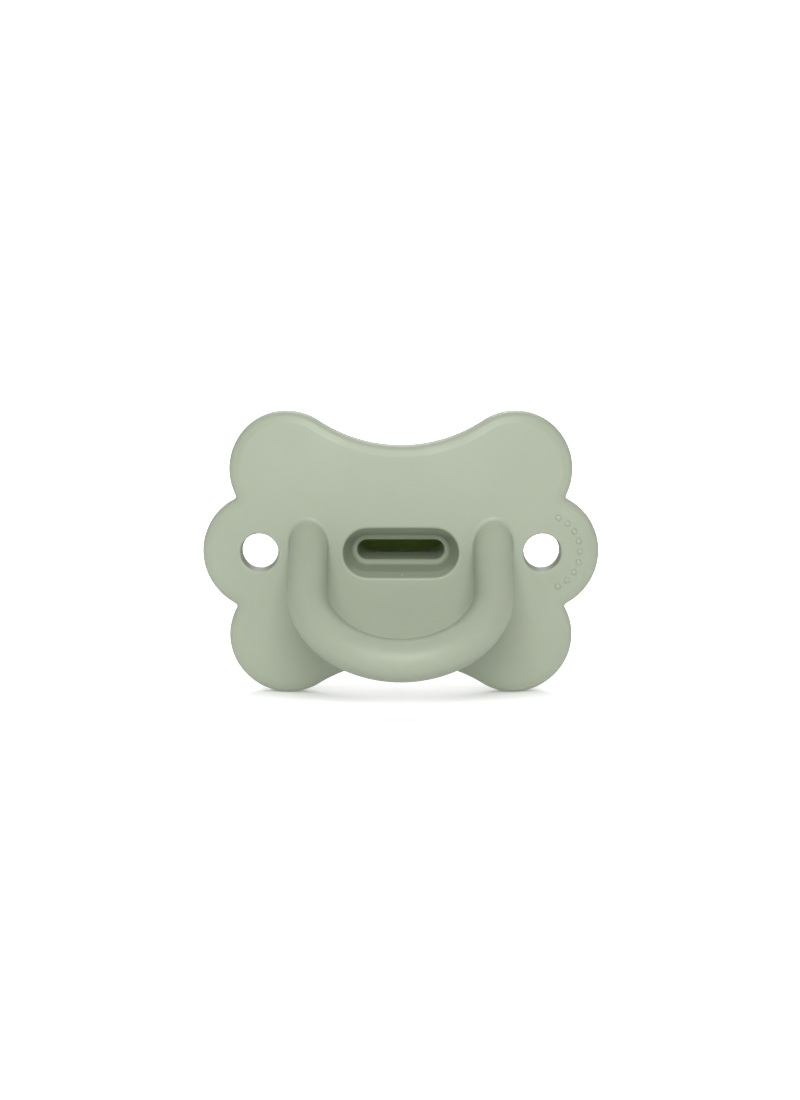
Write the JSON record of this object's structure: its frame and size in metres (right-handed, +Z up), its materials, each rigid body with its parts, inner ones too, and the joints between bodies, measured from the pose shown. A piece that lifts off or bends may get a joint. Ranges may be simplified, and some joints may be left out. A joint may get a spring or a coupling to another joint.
{
  "type": "pacifier",
  "caption": "One-colour silicone pacifier: butterfly shield with vent holes, U-shaped handle leaning out and down, hollow flat-necked teat.",
  "frame": {"origin": "centre of the slot into the teat, in the plane of the flat ledge around the slot", "axes": "+X to the right as the front is seen, across both vent holes; +Y from the shield towards the mouth, along the teat; +Z up, towards the nose cut-out"},
  "size_m": [0.056, 0.0531, 0.0402],
  "materials": {
    "silicone": "matte moulded silicone, sage green"
  },
  "bodies": {
    "shield": {"shield_plate": "silicone", "shield_mark": "silicone", "teat_collar": "silicone", "handle_root_left": "silicone", "handle_root_right": "silicone"},
    "handle": {"handle_loop": "silicone"},
    "teat": {"teat": "silicone"}
  },
  "joints": [
    {"name": "handle_flex", "type": "hinge", "parent": "shield", "child": "handle", "pos_m": [0, -0.00646, -0.00161], "axis": [1, 0, 0], "range_deg": [-45, 35], "stiffness_Nm_per_rad": 0.04},
    {"name": "teat_flex", "type": "hinge", "parent": "shield", "child": "teat", "pos_m": [0, 0.004, 0], "axis": [1, 0, 0], "range_deg": [-20, 20], "stiffness_Nm_per_rad": 0.07}
  ]
}
